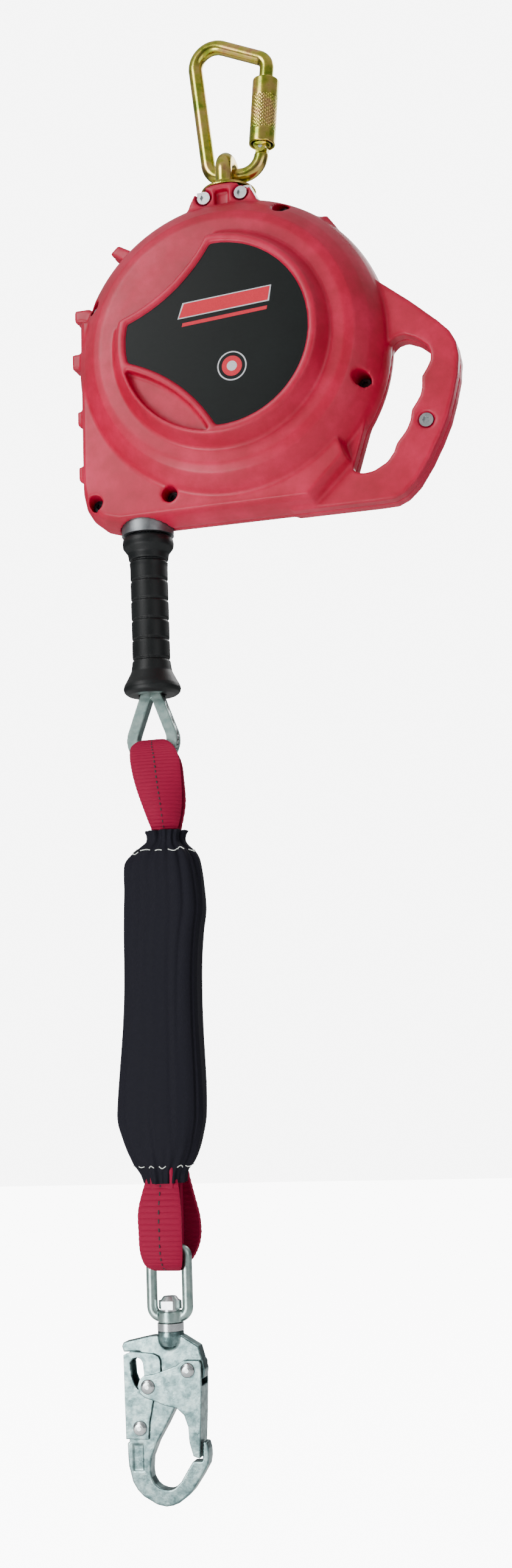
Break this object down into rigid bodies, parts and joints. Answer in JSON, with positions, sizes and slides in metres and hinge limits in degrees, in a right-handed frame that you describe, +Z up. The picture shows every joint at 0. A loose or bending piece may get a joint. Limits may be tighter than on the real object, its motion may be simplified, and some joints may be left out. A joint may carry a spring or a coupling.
{
  "type": "self retracting lifeline",
  "caption": "Self retracting fall-arrest lifeline: wire rope on a sprung drum with a pawl brake, hung from a locking carabiner, with a shock pack and snap hook.",
  "frame": {"origin": "bearing point inside the top bow of the carabiner, on the swivel axis", "axes": "+Z up along the hanging line, +X right, +Y to the rear, away from the label"},
  "size_m": [0.2823, 0.096, 1.0297],
  "materials": {
    "black_fabric": "woven polyester cover",
    "black_label": "satin printed label, plain",
    "black_rubber": "moulded rubber",
    "bright_steel": "bright zinc plated steel",
    "bronze": "sintered bronze",
    "dark_plastic": "glass-filled nylon",
    "dull_steel": "dull machined steel",
    "frame_steel": "zinc plated sheet",
    "grey_zinc": "blue-grey zinc plate",
    "lining": "friction lining",
    "red_housing": "moulded nylon with a fine streaky mottle",
    "red_webbing": "ribbed polyester webbing",
    "spring_steel": "oiled spring steel",
    "white_plastic": "acetal",
    "wire_rope": "galvanised wire rope",
    "yellow_zinc": "yellow zinc plate, softly worn"
  },
  "bodies": {
    "anchor": {"carabiner_body": "yellow_zinc", "gate_pin": "bright_steel"},
    "gate": {"carabiner_gate": "yellow_zinc", "gate_spring": "spring_steel"},
    "sleeve": {"locking_sleeve": "yellow_zinc", "sleeve_spring": "spring_steel"},
    "swivel_eye_body": {"swivel_eye": "yellow_zinc", "thrust_washer": "bright_steel", "swivel_nut": "bright_steel", "swivel_cotter": "bright_steel"},
    "housing": {"front_shell": "red_housing", "rear_shell": "red_housing", "label_plate": "black_label", "yoke": "frame_steel", "neck_screws": "bright_steel", "neck_nuts": "bright_steel", "case_screws": "bright_steel", "handle_screw": "bright_steel", "main_shaft": "bright_steel", "shaft_clips": "spring_steel", "nozzle_collar": "dull_steel", "nozzle_bush": "white_plastic", "spring_case": "frame_steel", "spring_cover": "frame_steel", "mainspring": "spring_steel", "brake_linings": "lining", "pressure_plates": "frame_steel", "disc_spring": "spring_steel", "brake_cover": "frame_steel", "brake_studs": "bright_steel"},
    "drum": {"drum_core": "dark_plastic", "drum_flanges": "frame_steel", "drum_bushes": "bronze", "rope_coil": "wire_rope", "rope_clamp": "bright_steel", "spring_arbor": "dull_steel", "pawl_pins": "bright_steel", "pawl_springs": "spring_steel"},
    "pawl_a_body": {"pawl_a": "dull_steel"},
    "pawl_b_body": {"pawl_b": "dull_steel"},
    "brake_ring_body": {"brake_ring": "dull_steel"},
    "lifeline": {"rope_run": "wire_rope", "ferrule": "bright_steel", "grip": "black_rubber", "thimble": "grey_zinc", "rope_eye": "wire_rope"},
    "pack": {"upper_loop": "red_webbing", "tear_webbing": "red_webbing", "pack_cover": "black_fabric", "lower_loop": "red_webbing"},
    "bail": {"swivel_bail": "grey_zinc"},
    "hook": {"hook_body": "grey_zinc", "swivel_stud": "bright_steel", "gate_rivet": "bright_steel", "lever_rivet": "bright_steel", "hook_gate_spring": "spring_steel", "lever_spring": "spring_steel"},
    "hook_gate_body": {"hook_gate": "grey_zinc", "ear_rivets": "bright_steel"},
    "hook_lever_body": {"hook_lever": "grey_zinc"}
  },
  "joints": [
    {"name": "gate_open", "type": "hinge", "parent": "anchor", "child": "gate", "pos_m": [0.02595, 0, -0.07694], "axis": [0, -1, 0], "range_deg": [0, 22], "stiffness_Nm_per_rad": 0.5, "springref_deg": -17.19},
    {"name": "sleeve_twist", "type": "hinge", "parent": "gate", "child": "sleeve", "pos_m": [0.0312, 0, -0.0246], "axis": [-0.0986, 0, -0.9951], "range_deg": [0, 90], "stiffness_Nm_per_rad": 0.05, "springref_deg": -28.65},
    {"name": "eye_swing", "type": "hinge", "parent": "anchor", "child": "swivel_eye_body", "pos_m": [0, 0, -0.0953], "axis": [1, 0, 0], "range_deg": [-60, 60]},
    {"name": "housing_swivel", "type": "hinge", "parent": "swivel_eye_body", "child": "housing", "pos_m": [0, 0, -0.1105], "axis": [0, 0, 1], "continuous": true},
    {"name": "lifeline_payout", "type": "slide", "parent": "housing", "child": "lifeline", "axis": [0, 0, -1], "range_m": [0, 10], "stiffness_N_per_m": 1, "springref_m": -20, "deforming": ["rope_run"]},
    {"name": "drum_spin", "type": "hinge", "parent": "housing", "child": "drum", "pos_m": [0, 0, -0.2323], "axis": [0, -1, 0], "range_deg": [0, 8292]},
    {"name": "pawl_a_swing", "type": "hinge", "parent": "drum", "child": "pawl_a_body", "pos_m": [0.004, 0, -0.2023], "axis": [0, 1, 0], "range_deg": [0, 8], "stiffness_Nm_per_rad": 0.02, "springref_deg": -28.65},
    {"name": "pawl_b_swing", "type": "hinge", "parent": "drum", "child": "pawl_b_body", "pos_m": [-0.004, 0, -0.2623], "axis": [0, 1, 0], "range_deg": [0, 8], "stiffness_Nm_per_rad": 0.02, "springref_deg": -28.65},
    {"name": "brake_slip", "type": "hinge", "parent": "housing", "child": "brake_ring_body", "pos_m": [0, 0, -0.2323], "axis": [0, -1, 0], "continuous": true},
    {"name": "pack_swing", "type": "hinge", "parent": "lifeline", "child": "pack", "pos_m": [-0.0691, 0, -0.5185], "axis": [1, 0, 0], "range_deg": [-70, 70]},
    {"name": "bail_swing", "type": "hinge", "parent": "pack", "child": "bail", "pos_m": [-0.0691, 0, -0.852], "axis": [1, 0, 0], "range_deg": [-40, 40]},
    {"name": "hook_swivel", "type": "hinge", "parent": "bail", "child": "hook", "pos_m": [-0.0691, 0, -0.896], "axis": [0, 0, 1], "continuous": true},
    {"name": "hook_gate_open", "type": "hinge", "parent": "hook", "child": "hook_gate_body", "pos_m": [-0.0557, 0, -0.9295], "axis": [0, 1, 0], "range_deg": [0, 20], "stiffness_Nm_per_rad": 0.4, "springref_deg": -20.05},
    {"name": "lever_squeeze", "type": "hinge", "parent": "hook", "child": "hook_lever_body", "pos_m": [-0.0904, 0, -0.9673], "axis": [0, 1, 0], "range_deg": [0, 8]}
  ],
  "couplings": [
    {"joint": "drum_spin", "follows": "lifeline_payout", "rad_per_m": 14.472},
    {"joint": "lever_squeeze", "follows": "hook_gate_open", "ratio": 0.4}
  ]
}
